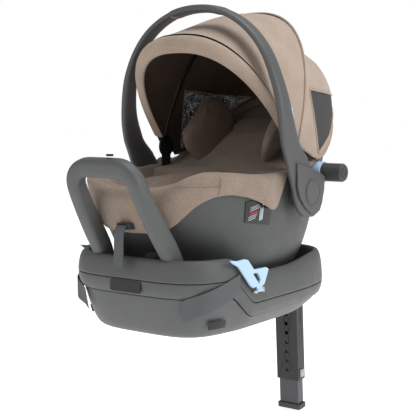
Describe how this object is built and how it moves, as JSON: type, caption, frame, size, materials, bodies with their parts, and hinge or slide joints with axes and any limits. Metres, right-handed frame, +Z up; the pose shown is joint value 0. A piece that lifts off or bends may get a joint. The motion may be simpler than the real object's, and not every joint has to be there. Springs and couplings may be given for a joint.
{
  "type": "infant car seat",
  "caption": "Grey infant carrier with taupe padded cover, canopy and carry handle, docked on a base with rebound bar and load leg.",
  "frame": {"origin": "centre of the base's flat underside, below the middle of the carrier", "axes": "+Z up, +Y toward the head end and the load leg, -Y toward the foot end and the rebound bar, +X to the side"},
  "size_m": [0.512, 0.7439, 0.9772],
  "materials": {
    "grey_plastic": "fine grained",
    "dark_plastic": "fine grained",
    "black_plastic": "satin",
    "black_rubber": "matte",
    "leg_paint": "satin black",
    "leg_inner": "satin grey",
    "steel": "brushed",
    "blue_plastic": "semi gloss",
    "red_plastic": "gloss",
    "webbing": "woven",
    "taupe_fabric": "melange knit",
    "brown_fabric": "soft knit",
    "dark_mesh": "open mesh"
  },
  "bodies": {
    "base": {"base_lower_shell": "grey_plastic", "base_band": "grey_plastic", "base_upper_shell": "grey_plastic", "leg_storage_tray": "dark_plastic", "front_deck": "dark_plastic", "front_badge": "black_plastic", "rebound_bar": "grey_plastic", "bar_bumper": "black_rubber", "leg_housing": "grey_plastic", "leg_hinge_pin": "steel", "anchor_strap_left": "webbing", "anchor_strap_right": "webbing", "belt_label": "black_plastic", "lockoff_pins": "steel", "base_rail_front": "steel", "base_rail_rear": "steel"},
    "lock_left": {"lockoff_left": "blue_plastic"},
    "lock_right": {"lockoff_right": "blue_plastic"},
    "knob": {"recline_knob": "black_plastic"},
    "foot_prop": {"recline_foot": "dark_plastic"},
    "leg_upper": {"leg_outer_tube": "leg_paint"},
    "leg_lower": {"leg_inner_tube": "leg_inner", "leg_foot": "black_plastic"},
    "leg_catch": {"leg_button": "steel"},
    "carrier": {"carrier_shell": "grey_plastic", "dock_bars": "steel", "seat_cover": "taupe_fabric", "seat_cushion": "taupe_fabric", "back_cushion": "brown_fabric", "crotch_pad": "webbing", "buckle": "black_plastic", "harness_straps": "webbing", "chest_clip": "black_plastic", "adjuster_strap": "webbing", "strap_guide": "steel", "hub_mounts": "dark_plastic", "hub_pins": "steel", "canopy_clips": "black_plastic", "side_label": "black_plastic", "pod_collars": "blue_plastic"},
    "buckle_press": {"buckle_button": "red_plastic"},
    "headrest": {"headrest_pad": "brown_fabric", "headrest_wings": "taupe_fabric"},
    "release": {"release_lever": "blue_plastic"},
    "pod_l": {"pod_left": "black_plastic"},
    "pod_r": {"pod_right": "black_plastic"},
    "handle": {"handle_bar": "dark_plastic", "handle_grip": "black_rubber", "hub_cover_left": "dark_plastic", "hub_cover_right": "dark_plastic"},
    "grip_l": {"handle_button_left": "blue_plastic"},
    "grip_r": {"handle_button_right": "blue_plastic"},
    "rear_bow": {"canopy_rear_bow": "black_plastic", "canopy_rear_panel": "taupe_fabric", "canopy_mesh_left": "dark_mesh", "canopy_mesh_right": "dark_mesh"},
    "front_bow": {"canopy_front_bow": "black_plastic", "canopy_rim": "taupe_fabric", "canopy_front_panel": "taupe_fabric"}
  },
  "joints": [
    {"name": "lock_left_hinge", "type": "hinge", "parent": "base", "child": "lock_left", "pos_m": [-0.1959, -0.097, 0.09], "axis": [0, -1, 0], "range_deg": [0, 75]},
    {"name": "lock_right_hinge", "type": "hinge", "parent": "base", "child": "lock_right", "pos_m": [0.1959, -0.097, 0.09], "axis": [0, 1, 0], "range_deg": [0, 75]},
    {"name": "recline_knob_turn", "type": "hinge", "parent": "base", "child": "knob", "pos_m": [0.036, -0.234, 0.15], "axis": [0, 0, 1], "range_deg": [0, 720]},
    {"name": "recline_foot_slide", "type": "slide", "parent": "base", "child": "foot_prop", "axis": [0, 0, -1], "range_m": [0, 0.024]},
    {"name": "leg_fold", "type": "hinge", "parent": "base", "child": "leg_upper", "pos_m": [0, 0.344, 0.017], "axis": [1, 0, 0], "range_deg": [-94.1, 0]},
    {"name": "leg_extend", "type": "slide", "parent": "leg_upper", "child": "leg_lower", "axis": [0, 0.0715, -0.9974], "range_m": [-0.045, 0.09]},
    {"name": "leg_button_press", "type": "slide", "parent": "leg_upper", "child": "leg_catch", "axis": [-1, 0, 0], "range_m": [0, 0.0015], "stiffness_N_per_m": 200},
    {"name": "carrier_lift", "type": "slide", "parent": "base", "child": "carrier", "axis": [0, 0, 1], "range_m": [0, 0.25]},
    {"name": "buckle_press", "type": "slide", "parent": "carrier", "child": "buckle_press", "axis": [0, -0.5736, -0.8192], "range_m": [0, 0.002], "stiffness_N_per_m": 300},
    {"name": "headrest_slide", "type": "slide", "parent": "carrier", "child": "headrest", "axis": [0, 0.7193, 0.6947], "range_m": [0, 0.05]},
    {"name": "release_pull", "type": "slide", "parent": "carrier", "child": "release", "axis": [0, 0.314, 0.9494], "range_m": [0, 0.005], "stiffness_N_per_m": 400},
    {"name": "pod_left_slide", "type": "slide", "parent": "carrier", "child": "pod_l", "axis": [1, 0, 0], "range_m": [0, 0.012]},
    {"name": "pod_right_slide", "type": "slide", "parent": "carrier", "child": "pod_r", "axis": [-1, 0, 0], "range_m": [0, 0.012]},
    {"name": "handle_turn", "type": "hinge", "parent": "carrier", "child": "handle", "pos_m": [0, 0.072, 0.277], "axis": [-1, 0, 0], "range_deg": [-8, 12]},
    {"name": "handle_button_left_press", "type": "slide", "parent": "handle", "child": "grip_l", "axis": [0, -1, 0], "range_m": [0, 0.003], "stiffness_N_per_m": 300},
    {"name": "handle_button_right_press", "type": "slide", "parent": "handle", "child": "grip_r", "axis": [0, -1, 0], "range_m": [0, 0.003], "stiffness_N_per_m": 300},
    {"name": "canopy_rear_fold", "type": "hinge", "parent": "carrier", "child": "rear_bow", "pos_m": [0, 0.068, 0.366], "axis": [-1, 0, 0], "range_deg": [0, 40], "deforming": ["canopy_rear_panel", "canopy_mesh_left", "canopy_mesh_right"]},
    {"name": "canopy_front_fold", "type": "hinge", "parent": "rear_bow", "child": "front_bow", "pos_m": [0, 0.068, 0.366], "axis": [-1, 0, 0], "range_deg": [0, 50], "deforming": ["canopy_front_panel"]}
  ],
  "couplings": [
    {"joint": "recline_foot_slide", "follows": "recline_knob_turn", "m_per_rad": 0.0019099}
  ]
}
